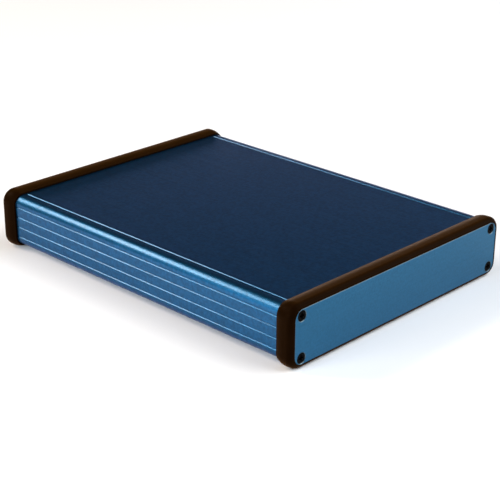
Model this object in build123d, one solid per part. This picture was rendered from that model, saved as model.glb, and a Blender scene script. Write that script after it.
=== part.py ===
from build123d import *

import os

# Extruded aluminium instrument enclosure: a ribbed channel with a cover that slides into its
# underside, closed at each end by a plastic bezel and a flat metal panel held by four screws.
# Millimetres. +Z is up, the extrusion runs along Y and the front panel faces -Y. The origin is
# on the table, under the middle of the enclosure.

# Channel
BODY_LENGTH = 207.6
BODY_WIDTH = 160.0
BODY_HEIGHT = 29.0
CORNER_RADIUS = 5.0
TOP_WALL = 1.8
SIDE_WALL = 2.2

# Fine V grooves along the channel: equal bands up each side, and one by each top edge
GROOVE_DEPTH = 0.35
SIDE_BANDS = 5
TOP_GROOVE_INSET = 7.6

# Open screw ports in the four corners of the channel
PORT_BORE = 2.9
PORT_WALL = 1.4
PORT_SLIT = 1.3
PORT_FROM_SIDE = 5.25
PORT_FROM_FACE = 3.6

# Comb of ribs inside each side wall, with slots that take the edge of a circuit board
BOARD_SLOT = 1.9
GUIDE_RIB = 1.2
GUIDE_DEPTH = 3.6

# Cover in the underside: its tongues run in slots between a lip and a shelf of the channel
COVER_THICKNESS = 2.0
COVER_EDGE_INSET = 10.8
TONGUE_REACH = 2.0
LIP_THICKNESS = 0.9
SLIDE_CLEARANCE = 0.15

# Bezel: a skirt over the end of the channel that flares out to a flat band, a rounded front, a web
# across the end of the channel, and a seat for the panel
BEZEL_PROUD = 2.3
BEZEL_OVERLAP = 4.4
SKIRT_PROUD = 1.0
FLARE_LENGTH = 5.6
BAND_LENGTH = 1.5
SKIRT_EDGE = 0.4
FRONT_RADIUS = 3.5
WEB_WIDTH = 4.2
PAD_RADIUS = 4.2
FIT_CLEARANCE = 0.15

# End panel
PANEL_THICKNESS = 1.5
PANEL_SIDE_INSET = 0.65
PANEL_TOP_INSET = 0.2
PANEL_CORNER = 5.0
PANEL_RECESS = 0.25
PANEL_CHAMFER = 0.2
SCREW_HOLE = 3.7

# Countersunk cross-recess screw with a plain shank where the thread is
HEAD_DIAMETER = 5.7
HEAD_SINK = 0.15
SCREW_LENGTH = 14.0
SCREW_CLEARANCE = 0.03
CROSS_SPAN = 3.2
CROSS_WIDTH = 0.95
CROSS_DEPTH = 1.1
CROSS_TAPER = 12.0

# Heights of the channel above the table: it hangs between the bezels
BODY_BOTTOM = BEZEL_PROUD
BODY_TOP = BODY_BOTTOM + BODY_HEIGHT
BODY_MIDDLE = BODY_BOTTOM + BODY_HEIGHT / 2
BODY_SIDE = BODY_WIDTH / 2
BODY_END = BODY_LENGTH / 2

# The rectangle through the centres of the corner roundings, which the channel and the bezel share
CORE_X = BODY_SIDE - CORNER_RADIUS
CORE_Z = BODY_HEIGHT / 2 - CORNER_RADIUS

# Screw axes
PORT_X = BODY_SIDE - PORT_FROM_SIDE
PORT_Z = BODY_HEIGHT / 2 - PORT_FROM_FACE
PORT_RING = PORT_BORE / 2 + PORT_WALL
PORT_PLACES = [(x, BODY_MIDDLE + z) for x in (-PORT_X, PORT_X) for z in (-PORT_Z, PORT_Z)]

# Cover and the slots that it runs in
COVER_EDGE = BODY_SIDE - COVER_EDGE_INSET
TONGUE_EDGE = COVER_EDGE + TONGUE_REACH
TONGUE_THICKNESS = COVER_THICKNESS - LIP_THICKNESS
SLOT_TOP = BODY_BOTTOM + COVER_THICKNESS + SLIDE_CLEARANCE

# The shelf over the cover's tongues comes up to the lower side of the port slits
LEG_TOP = BODY_MIDDLE - PORT_Z - PORT_SLIT / 2

# Stations along Y at the front end, going outwards
SKIRT_Y = -(BODY_END - BEZEL_OVERLAP)
WEB_Y = -BODY_END
FLARE_Y = SKIRT_Y - FLARE_LENGTH
BAND_Y = FLARE_Y - BAND_LENGTH
BEZEL_FACE_Y = BAND_Y - FRONT_RADIUS
PANEL_FACE_Y = BEZEL_FACE_Y + PANEL_RECESS
PANEL_BACK_Y = PANEL_FACE_Y + PANEL_THICKNESS
HEAD_Y = PANEL_FACE_Y + HEAD_SINK

# End panel outline
PANEL_WIDTH = BODY_WIDTH - 2 * PANEL_SIDE_INSET
PANEL_HEIGHT = BODY_HEIGHT - 2 * PANEL_TOP_INSET


def span(x_low, x_high, z_low, z_high):
    """A rectangle of the cross-section, between two widths and two heights."""
    return Pos((x_low + x_high) / 2, (z_low + z_high) / 2) * Rectangle(x_high - x_low, z_high - z_low)


def both_sides(section):
    """A piece of the cross-section and its mirror image on the other side of the enclosure."""
    return section + mirror(section, Plane.YZ)


def rounded(width, height, radius):
    """A rounded rectangle of the cross-section, centred on the channel."""
    return Pos(0, BODY_MIDDLE) * RectangleRounded(width, height, radius)


def run(section, y_from, y_to):
    """The cross-section extruded along Y, from one station to another further to the front."""
    return extrude(Plane.XZ.offset(-y_from) * section, amount=y_from - y_to)


def groove_at(x, z):
    """A square set on its corner, which cuts a V groove into the surface that it is centred on."""
    side = GROOVE_DEPTH * 2**0.5
    return Pos(x, z) * Rot(0, 0, 45) * Rectangle(side, side)


def board_guides():
    """The ribs on the +X side wall, as many as fit between the two screw ports."""
    wall = BODY_SIDE - SIDE_WALL
    pitch = BOARD_SLOT + GUIDE_RIB
    room = 2 * (PORT_Z - PORT_RING) - GUIDE_RIB
    slots = max(1, int(room // pitch))
    ribs = Sketch()
    for i in range(slots + 1):
        z = BODY_MIDDLE + (i - slots / 2) * pitch
        ribs += span(wall - GUIDE_DEPTH, wall + SIDE_WALL / 2, z - GUIDE_RIB / 2, z + GUIDE_RIB / 2)
    return ribs


def screw_ports():
    """A ring round each screw axis at +X, filled out square into the corner of the channel."""
    low = BODY_MIDDLE - PORT_Z
    high = BODY_MIDDLE + PORT_Z
    rings = Pos(PORT_X, low) * Circle(PORT_RING) + Pos(PORT_X, high) * Circle(PORT_RING)
    rings += span(PORT_X, BODY_SIDE, BODY_BOTTOM, low + PORT_RING)
    rings += span(PORT_X, BODY_SIDE, high - PORT_RING, BODY_TOP)
    return rings


def port_bores():
    """The bore of each screw port at +X, and the slit that opens it towards the inside."""
    bores = Sketch()
    for z in (BODY_MIDDLE - PORT_Z, BODY_MIDDLE + PORT_Z):
        bores += Pos(PORT_X, z) * Circle(PORT_BORE / 2)
        bores += span(PORT_X - PORT_RING, PORT_X, z - PORT_SLIT / 2, z + PORT_SLIT / 2)
    return bores


def grooves():
    """Every V groove on the outside, those along the cover's two seams included."""
    marks = Sketch()
    band = BODY_HEIGHT / SIDE_BANDS
    for i in range(1, SIDE_BANDS):
        marks += both_sides(groove_at(BODY_SIDE, BODY_BOTTOM + i * band))
    marks += both_sides(groove_at(BODY_SIDE - TOP_GROOVE_INSET, BODY_TOP))
    marks += both_sides(groove_at(COVER_EDGE - SLIDE_CLEARANCE / 2, BODY_BOTTOM))
    return marks


def housing():
    outline = rounded(BODY_WIDTH, BODY_HEIGHT, CORNER_RADIUS)
    wall = BODY_SIDE - SIDE_WALL
    section = outline - span(-wall, wall, LEG_TOP, BODY_TOP - TOP_WALL)
    section += outline & both_sides(screw_ports() + board_guides())
    section -= span(-COVER_EDGE, COVER_EDGE, BODY_BOTTOM, LEG_TOP)
    section -= span(-TONGUE_EDGE, TONGUE_EDGE, BODY_BOTTOM + LIP_THICKNESS, SLOT_TOP)
    section -= both_sides(port_bores())
    section -= grooves()
    return run(section, BODY_END, -BODY_END)


def bottom_cover():
    panel = COVER_EDGE - SLIDE_CLEARANCE
    tongue = TONGUE_EDGE - SLIDE_CLEARANCE
    top = BODY_BOTTOM + COVER_THICKNESS
    section = span(-panel, panel, BODY_BOTTOM, top)
    section += span(-tongue, tongue, top - TONGUE_THICKNESS, top)
    section -= grooves()
    return run(section, BODY_END, -BODY_END)


def window():
    """The opening through the bezel's web, which leaves a pad round each screw."""
    width = BODY_WIDTH - 2 * WEB_WIDTH
    height = BODY_HEIGHT - 2 * WEB_WIDTH
    opening = Pos(0, BODY_MIDDLE) * Rectangle(width, height)
    for x, z in PORT_PLACES:
        opening -= Pos(x, z) * Circle(PAD_RADIUS)
    return opening


def screw_holes():
    holes = Sketch()
    for x, z in PORT_PLACES:
        holes += Pos(x, z) * Circle(SCREW_HOLE / 2)
    return holes


def bezel_profile(reach):
    """Half of the bezel's lengthwise section, from its axis out past a reach to its curved outside."""
    corner = reach + CORNER_RADIUS
    widest = corner + BEZEL_PROUD
    rear = (corner + SKIRT_PROUD, SKIRT_Y)
    front = (widest - FRONT_RADIUS, BEZEL_FACE_Y)
    outline = Polyline(rear, (0, SKIRT_Y), (0, BEZEL_FACE_Y), front)
    outline += TangentArc((widest, FLARE_Y), rear, tangent=(0, 1))
    outline += Line((widest, FLARE_Y), (widest, BAND_Y))
    outline += TangentArc((widest, BAND_Y), front, tangent=(0, -1))
    half = make_face(outline)
    return chamfer(half.vertices().sort_by_distance(rear)[0], SKIRT_EDGE)


def bezel_block():
    """The bezel before it is hollowed: its profile run along the sides and turned round the corners."""
    upright = Plane((0, 0, 0), x_dir=(0, 0, 1), z_dir=(-1, 0, 0))
    quarter = extrude(bezel_profile(CORE_X), amount=CORE_Z)
    quarter += extrude(upright * bezel_profile(CORE_Z), amount=-CORE_X)
    quarter += Pos(CORE_X, 0, CORE_Z) * revolve(bezel_profile(0), Axis.Y, -90)
    half = quarter + mirror(quarter, Plane.YZ)
    return Pos(0, 0, BODY_MIDDLE) * (half + mirror(half, Plane.XY))


def front_bezel():
    bezel = bezel_block()
    room = 2 * FIT_CLEARANCE
    socket = rounded(BODY_WIDTH + room, BODY_HEIGHT + room, CORNER_RADIUS + FIT_CLEARANCE)
    seat = rounded(PANEL_WIDTH + room, PANEL_HEIGHT + room, PANEL_CORNER + FIT_CLEARANCE)
    bezel -= run(socket, SKIRT_Y, WEB_Y)
    bezel -= run(seat, PANEL_BACK_Y, BEZEL_FACE_Y)
    bezel -= run(window(), WEB_Y, PANEL_BACK_Y)
    bezel -= run(screw_holes(), WEB_Y, PANEL_BACK_Y)
    return bezel


def front_panel():
    panel = run(rounded(PANEL_WIDTH, PANEL_HEIGHT, PANEL_CORNER), PANEL_BACK_Y, PANEL_FACE_Y)
    panel = chamfer(panel.faces().sort_by(Axis.Y)[0].edges(), PANEL_CHAMFER)
    panel -= run(screw_holes(), PANEL_BACK_Y, PANEL_FACE_Y)
    mouth = HEAD_DIAMETER / 2 + SCREW_CLEARANCE + HEAD_SINK
    for x, z in PORT_PLACES:
        face = Plane((x, PANEL_FACE_Y, z), x_dir=(1, 0, 0), z_dir=(0, 1, 0))
        panel -= face * Pos(0, 0, mouth / 2) * Cone(mouth, 0, mouth)
    return panel


def cross_recess():
    """The driver recess: two crossed wings that narrow as they go down the screw along +Z."""
    wing = extrude(Rectangle(CROSS_SPAN, CROSS_WIDTH), amount=CROSS_DEPTH, taper=CROSS_TAPER)
    return wing + Rot(0, 0, 90) * wing


def screw():
    """One screw along +Z, with the top of its head at the origin."""
    shank = PORT_BORE / 2 - SCREW_CLEARANCE
    head = HEAD_DIAMETER / 2
    neck = head - shank
    outline = Polyline((0, 0), (head, 0), (shank, neck), (shank, SCREW_LENGTH), (0, SCREW_LENGTH), close=True)
    half = Plane.XZ * make_face(outline)
    return revolve(half, Axis.Z) - cross_recess()


def front_screws():
    one = screw()
    heads = [Plane((x, HEAD_Y, z), x_dir=(1, 0, 0), z_dir=(0, 1, 0)) for x, z in PORT_PLACES]
    return Compound([head * one for head in heads])


def at_the_rear(front):
    """The same piece at the other end of the channel."""
    return Rot(0, 0, 180) * front


bezel, panel, screws = front_bezel(), front_panel(), front_screws()
nodes = {
    "housing": housing(),
    "bottom_cover": bottom_cover(),
    "front_bezel": bezel,
    "rear_bezel": at_the_rear(bezel),
    "front_panel": panel,
    "rear_panel": at_the_rear(panel),
    "front_panel_screws": screws,
    "rear_panel_screws": at_the_rear(screws),
}

os.makedirs("parts", exist_ok=True)
for name, shape in nodes.items():
    export_step(shape, f"parts/{name}.step")
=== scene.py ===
import math

import bmesh
import bpy
from mathutils import Matrix, Quaternion, Vector


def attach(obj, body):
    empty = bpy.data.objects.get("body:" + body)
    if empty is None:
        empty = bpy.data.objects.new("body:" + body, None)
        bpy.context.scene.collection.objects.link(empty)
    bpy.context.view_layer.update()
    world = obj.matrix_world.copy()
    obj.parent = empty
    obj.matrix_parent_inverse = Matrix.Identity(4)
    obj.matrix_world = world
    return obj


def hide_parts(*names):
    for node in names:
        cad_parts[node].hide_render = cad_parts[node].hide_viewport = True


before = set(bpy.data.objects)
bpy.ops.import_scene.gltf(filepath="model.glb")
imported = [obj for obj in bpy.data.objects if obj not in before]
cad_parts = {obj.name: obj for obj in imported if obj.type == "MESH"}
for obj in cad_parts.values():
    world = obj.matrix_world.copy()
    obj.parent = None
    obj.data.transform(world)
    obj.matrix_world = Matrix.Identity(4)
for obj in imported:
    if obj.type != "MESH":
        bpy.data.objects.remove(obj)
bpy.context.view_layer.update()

# Sizes of the solids in millimetres, and counts, as in the part's source
BODY_LENGTH = 207.6
BODY_WIDTH = 160.0
BODY_HEIGHT = 29.0
CORNER_RADIUS = 5.0
TOP_WALL = 1.8
SIDE_WALL = 2.2
GROOVE_DEPTH = 0.35
SIDE_BANDS = 5
TOP_GROOVE_INSET = 7.6
PORT_BORE = 2.9
PORT_WALL = 1.4
PORT_SLIT = 1.3
PORT_FROM_SIDE = 5.25
PORT_FROM_FACE = 3.6
BOARD_SLOT = 1.9
GUIDE_RIB = 1.2
GUIDE_DEPTH = 3.6
GUIDE_SLOTS = 4
COVER_THICKNESS = 2.0
COVER_EDGE_INSET = 10.8
TONGUE_REACH = 2.0
LIP_THICKNESS = 0.9
SLIDE_CLEARANCE = 0.15
BEZEL_PROUD = 2.3
BEZEL_OVERLAP = 4.4
SKIRT_PROUD = 1.0
FLARE_LENGTH = 5.6
BAND_LENGTH = 1.5
SKIRT_EDGE = 0.4
FRONT_RADIUS = 3.5
WEB_WIDTH = 4.2
PAD_RADIUS = 4.2
FIT_CLEARANCE = 0.15
PANEL_THICKNESS = 1.5
PANEL_SIDE_INSET = 0.65
PANEL_TOP_INSET = 0.2
PANEL_CORNER = 5.0
PANEL_RECESS = 0.25
PANEL_CHAMFER = 0.2
SCREW_HOLE = 3.7
HEAD_DIAMETER = 5.7
HEAD_SINK = 0.15
SCREW_LENGTH = 14.0
SCREW_CLEARANCE = 0.03
CROSS_SPAN = 3.2
CROSS_WIDTH = 0.95
CROSS_DEPTH = 1.1

# Finer sizes that only the looks need
THREAD_PITCH = 0.8
THREAD_DEPTH = 0.26
HEAD_ROUND = 0.12
CROSS_FLOOR = 0.62
CORNER_STRAIGHT = 2.5

# Places that follow from the sizes
BOTTOM = BEZEL_PROUD
TOP = BOTTOM + BODY_HEIGHT
MIDDLE = BOTTOM + BODY_HEIGHT / 2
SIDE = BODY_WIDTH / 2
END = BODY_LENGTH / 2
PORT_X = SIDE - PORT_FROM_SIDE
PORT_Z = BODY_HEIGHT / 2 - PORT_FROM_FACE
PORT_RING = PORT_BORE / 2 + PORT_WALL
PORT_PLACES = [(x, MIDDLE + z) for x in (-PORT_X, PORT_X) for z in (-PORT_Z, PORT_Z)]
COVER_EDGE = SIDE - COVER_EDGE_INSET
SKIRT_Y = BEZEL_OVERLAP - END
FRONT_BACK = FLARE_LENGTH + BAND_LENGTH
FACE_Y = SKIRT_Y - FRONT_BACK - FRONT_RADIUS
PANEL_Y = FACE_Y + PANEL_RECESS
PANEL_BACK_Y = PANEL_Y + PANEL_THICKNESS
PANEL_X = SIDE - PANEL_SIDE_INSET
PANEL_Z = BODY_HEIGHT / 2 - PANEL_TOP_INSET
CORE_X = SIDE - CORNER_RADIUS
CORE_Z = BODY_HEIGHT / 2 - CORNER_RADIUS

# One millimetre in the scene's metres
MM = 0.001

# Fineness of the meshes: steps along each kind of arc, rings in a turn of thread, halvings in the search for
# the panel's seat, and the angle from which an edge is sharp
CORNER_STEPS = 20
EDGE_STEPS = 10
FRONT_STEPS = 16
HOLE_STEPS = 48
THREAD_STEPS = 8
SEAT_HALVINGS = 40
SHARP_DEGREES = 28.0

# Half the studio floor's width in metres
FLOOR_HALF = 3.0


# Mesh building

class Skin:
    """A mesh made of loops of points, in millimetres, and the faces between them."""

    def __init__(self):
        self.mesh = bmesh.new()

    def loop(self, points):
        return [self.mesh.verts.new(Vector(point) * MM) for point in points]

    def join(self, first, second, material=0):
        """Faces between two loops that have as many points."""
        for i in range(len(first)):
            j = (i + 1) % len(first)
            face = self.mesh.faces.new((first[i], first[j], second[j], second[i]))
            face.material_index = material

    def fill(self, *loops):
        """A flat face inside the first loop, with the other loops as its holes."""
        edges = []
        for loop in loops:
            for i in range(len(loop)):
                pair = (loop[i - 1], loop[i])
                edges.append(self.mesh.edges.get(pair) or self.mesh.edges.new(pair))
        bmesh.ops.triangle_fill(self.mesh, use_beauty=True, use_dissolve=False, edges=edges)

    def make(self, name):
        bmesh.ops.recalc_face_normals(self.mesh, faces=self.mesh.faces)
        data = bpy.data.meshes.new(name)
        self.mesh.to_mesh(data)
        self.mesh.free()
        return place(name, data)


def place(name, data):
    """A mesh as an object of the scene, smooth where its faces meet at a small angle."""
    data.shade_smooth()
    data.set_sharp_from_angle(angle=math.radians(SHARP_DEGREES))
    piece = bpy.data.objects.new(name, data)
    bpy.context.scene.collection.objects.link(piece)
    return piece


def turned_to_rear(piece, name):
    """A copy of a front piece at the rear end."""
    data = piece.data.copy()
    data.name = name
    data.transform(Matrix.Rotation(math.pi, 4, "Z"))
    return place(name, data)


def arc(x, z, radius, start, stop, steps):
    """Points of the cross-section along an arc, with its angles in degrees."""
    angles = [math.radians(start + (stop - start) * i / steps) for i in range(steps + 1)]
    return [(x + radius * math.cos(a), z + radius * math.sin(a)) for a in angles]


def circle(x, z, radius):
    return arc(x, z, radius, 0, 360 - 360 / HOLE_STEPS, HOLE_STEPS - 1)


def rounded(half_x, half_z, radius):
    """A rounded rectangle of the cross-section, centred on the channel."""
    points = []
    for quarter, (sx, sz) in enumerate([(1, 1), (-1, 1), (-1, -1), (1, -1)]):
        x, z = sx * (half_x - radius), MIDDLE + sz * (half_z - radius)
        points += arc(x, z, radius, 90 * quarter, 90 * quarter + 90, CORNER_STEPS)
    return points


def at(section, y):
    return [(x, y, z) for x, z in section]


# Channel

def groove(x, z, along_x):
    """A V groove cut into the top, or into the side going down it."""
    d = GROOVE_DEPTH
    if along_x:
        return [(x - d, z), (x, z - d), (x + d, z)]
    return [(x, z + d), (x - d, z), (x, z - d)]


def port(z, ring_start, ring_stop):
    """The bore of a screw port with the slit that opens it, and the arc of its ring above the slit."""
    half = PORT_SLIT / 2
    bore = math.degrees(math.asin(half / (PORT_BORE / 2)))
    points = arc(PORT_X, z, PORT_BORE / 2, 180 + bore, 540 - bore, HOLE_STEPS)
    return points + arc(PORT_X, z, PORT_RING, ring_start, ring_stop, CORNER_STEPS)


def half_section():
    """The right half of the channel's section: round the outside from the top groove, and back up inside."""
    wall = SIDE - SIDE_WALL
    low, high = MIDDLE - PORT_Z, MIDDLE + PORT_Z
    slit = math.degrees(math.asin(PORT_SLIT / 2 / PORT_RING))
    under_top = math.degrees(math.asin((PORT_FROM_FACE - TOP_WALL) / PORT_RING))
    seam = GROOVE_DEPTH - SLIDE_CLEARANCE / 2
    slot_top = BOTTOM + COVER_THICKNESS + SLIDE_CLEARANCE
    tongue = COVER_EDGE + TONGUE_REACH

    points = groove(SIDE - TOP_GROOVE_INSET, TOP, True)
    points += arc(SIDE - CORNER_RADIUS, TOP - CORNER_RADIUS, CORNER_RADIUS, 90, 0, CORNER_STEPS)
    for band in range(SIDE_BANDS - 1, 0, -1):
        points += groove(SIDE, BOTTOM + BODY_HEIGHT * band / SIDE_BANDS, False)
    points += arc(SIDE - CORNER_RADIUS, BOTTOM + CORNER_RADIUS, CORNER_RADIUS, 0, -90, CORNER_STEPS)
    points += [(COVER_EDGE + seam, BOTTOM), (COVER_EDGE, BOTTOM + seam)]
    points += [(COVER_EDGE, BOTTOM + LIP_THICKNESS), (tongue, BOTTOM + LIP_THICKNESS)]
    points += [(tongue, slot_top), (COVER_EDGE, slot_top), (COVER_EDGE, low - PORT_SLIT / 2)]
    points += port(low, 180 - slit, 90)
    points += [(wall, low + PORT_RING)]
    for i in range(GUIDE_SLOTS + 1):
        z = MIDDLE + (i - GUIDE_SLOTS / 2) * (BOARD_SLOT + GUIDE_RIB)
        half = GUIDE_RIB / 2
        tip = wall - GUIDE_DEPTH
        points += [(wall, z - half), (tip, z - half), (tip, z + half), (wall, z + half)]
    points += [(wall, high - PORT_RING)]
    points += arc(PORT_X, high, PORT_RING, 270, 180 + slit, CORNER_STEPS)
    points += port(high, 180 - slit, 180 - under_top)
    return points


def make_housing():
    right = half_section()
    section = right + [(-x, z) for x, z in reversed(right)]
    skin = Skin()
    front, rear = skin.loop(at(section, -END)), skin.loop(at(section, END))
    skin.join(front, rear)
    skin.fill(front)
    skin.fill(rear)
    return skin.make("housing_extrusion")


# Bezel

def window():
    """The opening through the bezel's web, which leaves a pad round each screw."""
    half_x, half_z = SIDE - WEB_WIDTH, BODY_HEIGHT / 2 - WEB_WIDTH
    above = math.degrees(math.asin((half_z - PORT_Z) / PAD_RADIUS))
    beside = math.degrees(math.acos((half_x - PORT_X) / PAD_RADIUS))
    pad = arc(PORT_X, PORT_Z, PAD_RADIUS, 360 - beside, 180 - above, CORNER_STEPS)
    corners = [pad]
    corners.append([(-x, z) for x, z in reversed(pad)])
    corners.append([(-x, -z) for x, z in pad])
    corners.append([(x, -z) for x, z in reversed(pad)])
    return [(x, MIDDLE + z) for corner in corners for x, z in corner]


def spokes():
    """Places round the core of the bezel's outline, each with the way out from it to the outline."""
    found = []
    corners = [(CORE_X, CORE_Z), (-CORE_X, CORE_Z), (-CORE_X, -CORE_Z), (CORE_X, -CORE_Z)]
    for quarter, (x, z) in enumerate(corners):
        turns = [math.radians(90 * quarter + 90 * i / CORNER_STEPS) for i in range(CORNER_STEPS + 1)]
        ways = [(math.cos(turn), math.sin(turn)) for turn in turns]
        steps = [CORNER_STRAIGHT * i / EDGE_STEPS for i in range(1, EDGE_STEPS + 1)]
        first, last = ways[0], ways[-1]
        found += [(x - last[0] * step, z - last[1] * step, *first) for step in reversed(steps)]
        found += [(x, z, *way) for way in ways]
        found += [(x - first[0] * step, z - first[1] * step, *last) for step in steps]
    return found


def reach_of_seat(x, z, way_x, way_z):
    """How far from a place of the core the panel's seat lies, along one spoke."""
    inner_x, inner_z = PANEL_X - PANEL_CORNER, PANEL_Z - PANEL_CORNER
    low, high = 0.0, CORNER_RADIUS + BEZEL_PROUD
    for _ in range(SEAT_HALVINGS):
        reach = (low + high) / 2
        over_x = max(abs(x + way_x * reach) - inner_x, 0.0)
        over_z = max(abs(z + way_z * reach) - inner_z, 0.0)
        if math.hypot(over_x, over_z) < PANEL_CORNER + FIT_CLEARANCE:
            low = reach
        else:
            high = reach
    return low


def skirt_proud(back):
    """How far the flared skirt stands out from the channel, at a distance from its rear edge."""
    rise = BEZEL_PROUD - SKIRT_PROUD
    radius = (FLARE_LENGTH**2 + rise**2) / (2 * rise)
    return BEZEL_PROUD - radius + math.sqrt(radius**2 - (FLARE_LENGTH - back)**2)


def skirt_stations():
    """How far out from the core, and at which distance from the rear edge, each loop of the skirt lies."""
    edge = skirt_proud(SKIRT_EDGE)
    stations = []
    for i in range(EDGE_STEPS):
        turn = math.radians(90 * i / EDGE_STEPS)
        stations.append((edge - SKIRT_EDGE * (1 - math.sin(turn)), SKIRT_EDGE * (1 - math.cos(turn))))
    for i in range(EDGE_STEPS + 1):
        back = SKIRT_EDGE + (FLARE_LENGTH - SKIRT_EDGE) * i / EDGE_STEPS
        stations.append((skirt_proud(back), back))
    stations.append((BEZEL_PROUD, FRONT_BACK))
    return [(CORNER_RADIUS + proud, back) for proud, back in stations]


def make_bezel():
    skin = Skin()
    places = spokes()

    def ring(reaches, stations):
        points = []
        for (x, z, way_x, way_z), reach, back in zip(places, reaches, stations):
            points.append((x + way_x * reach, SKIRT_Y - back, MIDDLE + z + way_z * reach))
        return skin.loop(points)

    def level_ring(reach, back):
        return ring([reach] * len(places), [back] * len(places))

    loops = [level_ring(CORNER_RADIUS + FIT_CLEARANCE, 0.0)]
    loops += [level_ring(reach, back) for reach, back in skirt_stations()]
    outer = CORNER_RADIUS + BEZEL_PROUD
    seat = [reach_of_seat(*spoke) for spoke in places]
    ends = [math.acos(1 - (outer - reach) / FRONT_RADIUS) for reach in seat]
    for i in range(1, FRONT_STEPS + 1):
        turns = [end * i / FRONT_STEPS for end in ends]
        reaches = [outer - FRONT_RADIUS * (1 - math.cos(turn)) for turn in turns]
        loops.append(ring(reaches, [FRONT_BACK + FRONT_RADIUS * math.sin(turn) for turn in turns]))
    loops.append(ring(seat, [SKIRT_Y - PANEL_BACK_Y] * len(places)))
    for first, second in zip(loops, loops[1:]):
        skin.join(first, second)

    web = level_ring(CORNER_RADIUS + FIT_CLEARANCE, BEZEL_OVERLAP)
    skin.join(loops[0], web)
    front_holes, rear_holes = [], []
    for hole in [window()] + [circle(x, z, SCREW_HOLE / 2) for x, z in PORT_PLACES]:
        front_holes.append(skin.loop(at(hole, PANEL_BACK_Y)))
        rear_holes.append(skin.loop(at(hole, -END)))
        skin.join(front_holes[-1], rear_holes[-1])
    skin.fill(loops[-1], *front_holes)
    skin.fill(web, *rear_holes)
    return skin.make("front_bezel_moulding")


# End panel and its screws

def make_panel():
    skin = Skin()
    outline = rounded(PANEL_X, PANEL_Z, PANEL_CORNER)
    inner = rounded(PANEL_X - PANEL_CHAMFER, PANEL_Z - PANEL_CHAMFER, PANEL_CORNER - PANEL_CHAMFER)
    back = skin.loop(at(outline, PANEL_BACK_Y))
    edge = skin.loop(at(outline, PANEL_Y + PANEL_CHAMFER))
    front = skin.loop(at(inner, PANEL_Y))
    skin.join(back, edge)
    skin.join(edge, front, material=1)

    mouth = HEAD_DIAMETER / 2 + SCREW_CLEARANCE + HEAD_SINK
    throat = SCREW_HOLE / 2
    mouths, holes = [], []
    for x, z in PORT_PLACES:
        mouths.append(skin.loop(at(circle(x, z, mouth), PANEL_Y)))
        neck = skin.loop(at(circle(x, z, throat), PANEL_Y + mouth - throat))
        holes.append(skin.loop(at(circle(x, z, throat), PANEL_BACK_Y)))
        skin.join(mouths[-1], neck, material=1)
        skin.join(neck, holes[-1])
    skin.fill(front, *mouths)
    skin.fill(back, *holes)
    return skin.make("front_panel_sheet")


def cross(scale):
    """The outline of the driver recess, as twelve points round the screw's axis."""
    a, b = CROSS_WIDTH / 2 * scale, CROSS_SPAN / 2 * scale
    quarter = [(b, -a), (b, a), (a, a)]
    points = []
    for turn in range(4):
        for x, z in quarter:
            for _ in range(turn):
                x, z = -z, x
            points.append((x, z))
    return points


def thread_radius(depth, turn, shank):
    """The shank's radius at one depth and angle, with a V thread wound round it."""
    phase = (depth / THREAD_PITCH - turn) % 1.0
    return shank - THREAD_DEPTH * abs(2 * phase - 1)


def add_screw(skin, x, z):
    """One screw along +Y, with the top of its head sunk a little below the panel's face."""
    head_y = PANEL_Y + HEAD_SINK
    head, shank = HEAD_DIAMETER / 2, PORT_BORE / 2 - SCREW_CLEARANCE
    neck = head - shank

    def ring(radius, depth):
        return skin.loop([(px, head_y + depth, pz) for px, pz in circle(x, z, radius)])

    def recess(scale, depth):
        return skin.loop([(x + px, head_y + depth, z + pz) for px, pz in cross(scale)])

    rim = ring(head - HEAD_ROUND, 0)
    mouth = recess(1.0, 0)
    bottom = recess(CROSS_FLOOR, CROSS_DEPTH)
    skin.fill(rim, mouth)
    skin.join(mouth, bottom)
    skin.fill(bottom)
    shoulder = ring(head - HEAD_ROUND / 2, HEAD_ROUND / 2)
    skin.join(rim, shoulder)
    last = ring(shank, neck)
    skin.join(shoulder, last)

    steps = int((SCREW_LENGTH - neck) / THREAD_PITCH * THREAD_STEPS)
    for i in range(1, steps + 1):
        depth = neck + (SCREW_LENGTH - neck) * i / steps
        points = []
        for k in range(HOLE_STEPS):
            turn = k / HOLE_STEPS
            radius = thread_radius(depth, turn, shank)
            angle = 2 * math.pi * turn
            points.append((x + radius * math.cos(angle), head_y + depth, z + radius * math.sin(angle)))
        following = skin.loop(points)
        skin.join(last, following)
        last = following
    skin.fill(last)


def make_screws():
    skin = Skin()
    for x, z in PORT_PLACES:
        add_screw(skin, x, z)
    return skin.make("front_screw_set")


# Materials

def new_material(name):
    """A new material, with its node tree and its shader."""
    material = bpy.data.materials.new(name)
    material.use_nodes = True
    tree = material.node_tree
    return material, tree, tree.nodes["Principled BSDF"]


def noise(tree, scale, detail, stretch=(1.0, 1.0, 1.0)):
    """A noise over the object's own coordinates, stretched along any axis. Scale is in cells per metre."""
    where = tree.nodes.new("ShaderNodeTexCoord")
    mapping = tree.nodes.new("ShaderNodeMapping")
    mapping.inputs["Scale"].default_value = stretch
    texture = tree.nodes.new("ShaderNodeTexNoise")
    texture.inputs["Scale"].default_value = scale
    texture.inputs["Detail"].default_value = detail
    tree.links.new(where.outputs["Object"], mapping.inputs["Vector"])
    tree.links.new(mapping.outputs["Vector"], texture.inputs["Vector"])
    return texture.outputs["Fac"]


def ramp(tree, factor, low, high, low_at=0.3, high_at=0.7):
    """A factor turned into a colour between two ends."""
    made = tree.nodes.new("ShaderNodeValToRGB")
    made.color_ramp.elements[0].position = low_at
    made.color_ramp.elements[1].position = high_at
    made.color_ramp.elements[0].color = (*low, 1.0)
    made.color_ramp.elements[1].color = (*high, 1.0)
    tree.links.new(factor, made.inputs["Fac"])
    return made.outputs["Color"]


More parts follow.
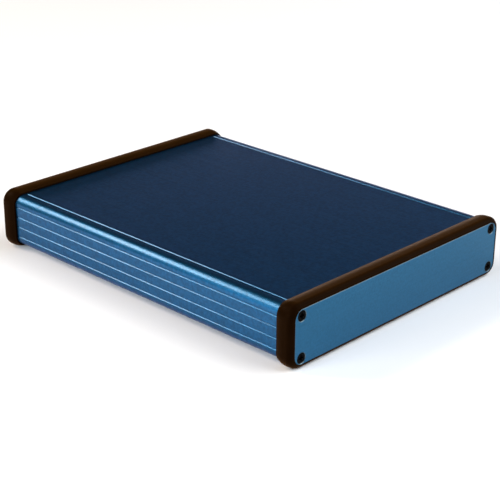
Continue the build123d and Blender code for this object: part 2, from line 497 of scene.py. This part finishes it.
def spread(tree, factor, low, high):
    """A factor turned into a number between two ends."""
    made = tree.nodes.new("ShaderNodeMapRange")
    made.inputs["From Min"].default_value = 0.25
    made.inputs["From Max"].default_value = 0.75
    made.inputs["To Min"].default_value = low
    made.inputs["To Max"].default_value = high
    tree.links.new(factor, made.inputs["Value"])
    return made.outputs["Result"]


def bump(tree, shader, heights):
    """Several heights, each with its depth in metres, laid over each other on the shader's normal."""
    normal = None
    for height, depth in heights:
        made = tree.nodes.new("ShaderNodeBump")
        made.inputs["Strength"].default_value = 1.0
        made.inputs["Distance"].default_value = depth
        tree.links.new(height, made.inputs["Height"])
        if normal is not None:
            tree.links.new(normal, made.inputs["Normal"])
        normal = made.outputs["Normal"]
    tree.links.new(normal, shader.inputs["Normal"])


def body_material():
    """Matt dark blue anodising over an extrusion: etched grain, and faint die lines along its length."""
    material, tree, shader = new_material("anodised_body")
    speckle = noise(tree, 620.0, 2.0)
    lines = noise(tree, 1.0, 3.0, (1500.0, 5.0, 1500.0))
    grain = noise(tree, 2600.0, 2.0)
    colour = ramp(tree, speckle, (0.0050, 0.0668, 0.162), (0.0070, 0.0996, 0.242))
    tree.links.new(colour, shader.inputs["Base Color"])
    tree.links.new(spread(tree, lines, 0.36, 0.44), shader.inputs["Roughness"])
    shader.inputs["Metallic"].default_value = 1.0
    tint = ramp(tree, speckle, (0.30, 0.34, 0.54), (0.46, 0.50, 0.80))
    tree.links.new(tint, shader.inputs["Specular Tint"])
    shader.inputs["Coat Weight"].default_value = 0.42
    shader.inputs["Coat Roughness"].default_value = 0.24
    bump(tree, shader, [(lines, 0.000004), (grain, 0.000025)])
    return material


def panel_material():
    """Lighter blue anodised sheet with a fine even grain."""
    material, tree, shader = new_material("anodised_panel")
    speckle = noise(tree, 900.0, 2.0)
    lines = noise(tree, 1.0, 3.0, (12.0, 2200.0, 2200.0))
    grain = noise(tree, 3200.0, 2.0)
    colour = ramp(tree, speckle, (0.0121, 0.094, 0.187), (0.0146, 0.115, 0.228))
    tree.links.new(colour, shader.inputs["Base Color"])
    tree.links.new(spread(tree, lines, 0.38, 0.48), shader.inputs["Roughness"])
    shader.inputs["Metallic"].default_value = 1.0
    shader.inputs["Coat Weight"].default_value = 0.1
    shader.inputs["Coat Roughness"].default_value = 0.4
    bump(tree, shader, [(lines, 0.000005), (grain, 0.000012)])
    return material


def edge_material():
    """The cut edges of the sheet, where the anodising is thin and the metal bright."""
    material, tree, shader = new_material("panel_edge")
    marks = noise(tree, 900.0, 3.0)
    colour = ramp(tree, marks, (0.07, 0.11, 0.135), (0.11, 0.15, 0.175))
    tree.links.new(colour, shader.inputs["Base Color"])
    tree.links.new(spread(tree, marks, 0.28, 0.42), shader.inputs["Roughness"])
    shader.inputs["Metallic"].default_value = 1.0
    bump(tree, shader, [(marks, 0.000006)])
    return material


def bezel_material():
    """Satin brown-black moulded plastic with a fine spark-eroded texture."""
    material, tree, shader = new_material("bezel_plastic")
    cloud = noise(tree, 90.0, 3.0)
    texture = noise(tree, 1800.0, 2.0)
    colour = ramp(tree, cloud, (0.0040, 0.0015, 0.0004), (0.0056, 0.0021, 0.0006))
    tree.links.new(colour, shader.inputs["Base Color"])
    tree.links.new(spread(tree, texture, 0.34, 0.44), shader.inputs["Roughness"])
    shader.inputs["Specular IOR Level"].default_value = 0.008
    shader.inputs["Specular Tint"].default_value = (1.0, 0.55, 0.28, 1.0)
    shader.inputs["Sheen Weight"].default_value = 0.11
    shader.inputs["Sheen Roughness"].default_value = 0.4
    shader.inputs["Sheen Tint"].default_value = (1.0, 0.40, 0.06, 1.0)
    bump(tree, shader, [(texture, 0.00002)])
    return material


def screw_material():
    """Black oxide on steel, rubbed a little brighter in places."""
    material, tree, shader = new_material("black_steel")
    wear = noise(tree, 1400.0, 4.0)
    colour = ramp(tree, wear, (0.0004, 0.0004, 0.0005), (0.0016, 0.0014, 0.0013), 0.4, 0.75)
    tree.links.new(colour, shader.inputs["Base Color"])
    tree.links.new(spread(tree, wear, 0.34, 0.5), shader.inputs["Roughness"])
    shader.inputs["Specular IOR Level"].default_value = 0.02
    bump(tree, shader, [(wear, 0.00001)])
    return material


def floor_material():
    material, tree, shader = new_material("studio_floor")
    tone = noise(tree, 3.0, 2.0)
    tree.links.new(ramp(tree, tone, (0.86, 0.90, 0.945), (0.88, 0.92, 0.965)), shader.inputs["Base Color"])
    shader.inputs["Roughness"].default_value = 0.7
    shader.inputs["Specular IOR Level"].default_value = 0.2
    return material


# The object

def dress(piece, slot, stands_for, *materials):
    """Gives a piece its materials and lets it stand for its CAD node. The slot argument is not used."""
    for material in materials:
        piece.data.materials.append(material)
    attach(piece, "root")
    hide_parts(stands_for)


body, panel, edge = body_material(), panel_material(), edge_material()
bezel, steel = bezel_material(), screw_material()

dress(make_housing(), "anodised_body", "housing", body)

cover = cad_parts["bottom_cover"]
cover.data.materials.clear()
cover.data.materials.append(body)

front_bezel = make_bezel()
rear_bezel = turned_to_rear(front_bezel, "rear_bezel_moulding")
dress(front_bezel, "bezel_plastic", "front_bezel", bezel)
dress(rear_bezel, "bezel_plastic", "rear_bezel", bezel)

front_panel = make_panel()
rear_panel = turned_to_rear(front_panel, "rear_panel_sheet")
dress(front_panel, "anodised_panel", "front_panel", panel, edge)
dress(rear_panel, "anodised_panel", "rear_panel", panel, edge)

front_screws = make_screws()
rear_screws = turned_to_rear(front_screws, "rear_screw_set")
dress(front_screws, "black_steel", "front_panel_screws", steel)
dress(rear_screws, "black_steel", "rear_panel_screws", steel)


# Studio

def make_floor():
    ways = [(-1, -1), (1, -1), (1, 1), (-1, 1)]
    corners = [(x * FLOOR_HALF, y * FLOOR_HALF, 0) for x, y in ways]
    data = bpy.data.meshes.new("studio_floor")
    data.from_pydata(corners, [], [(0, 1, 2, 3)])
    floor = bpy.data.objects.new("studio_floor", data)
    bpy.context.scene.collection.objects.link(floor)
    floor.data.materials.append(floor_material())


def softbox(name, direction, distance, width, height, watts, roll=0.0, colour=(1.0, 1.0, 1.0)):
    """An area light in a direction from the object, turned towards it and rolled by some degrees.

    Distance, width and height are in metres.
    """
    data = bpy.data.lights.new(name, "AREA")
    data.shape = "RECTANGLE"
    data.size = width
    data.size_y = height
    data.energy = watts
    data.color = colour
    light = bpy.data.objects.new(name, data)
    bpy.context.scene.collection.objects.link(light)
    away = Vector(direction).normalized()
    light.location = away * distance
    light.rotation_mode = "QUATERNION"
    light.rotation_quaternion = away.to_track_quat("Z", "Y") @ Quaternion((0, 0, 1), math.radians(roll))


def make_world(level):
    world = bpy.data.worlds.new("studio_air")
    world.use_nodes = True
    background = world.node_tree.nodes["Background"]
    background.inputs["Color"].default_value = (1.0, 1.0, 1.0, 1.0)
    background.inputs["Strength"].default_value = level
    bpy.context.scene.world = world


def make_camera():
    """The photograph's viewpoint: found from the edges, grooves and screws that it shows."""
    right = Vector((0.69583, -0.71819, 0.00524))
    down = Vector((-0.27775, -0.27582, -0.92021))
    forward = Vector((0.66232, 0.63885, -0.39140))
    place_mm = Vector((-495.72, -482.29, 282.52 + MIDDLE))
    data = bpy.data.cameras.new("photo_camera")
    data.sensor_width = 36.0
    data.lens = 97.85
    camera = bpy.data.objects.new("photo_camera", data)
    bpy.context.scene.collection.objects.link(camera)
    turn = Matrix((right, -down, -forward)).transposed().to_4x4()
    camera.matrix_world = Matrix.Translation(place_mm * MM) @ turn
    bpy.context.scene.camera = camera


make_floor()
make_world(0.08)
softbox("key_back_left", (-0.40, 0.69, 0.60), 2.4, 1.1, 0.5, 41.0, -35.0, (1.0, 0.80, 0.62))
softbox("near_left", (-0.94, 0.03, 0.30), 0.8, 0.5, 0.4, 6.2)
softbox("front_fill", (0.55, -0.60, 0.58), 2.0, 2.4, 2.4, 68.0)
softbox("horizon_right", (0.66, 0.74, 0.07), 2.4, 2.4, 0.3, 9.5)
make_camera()
bpy.context.scene.view_settings.view_transform = "Standard"
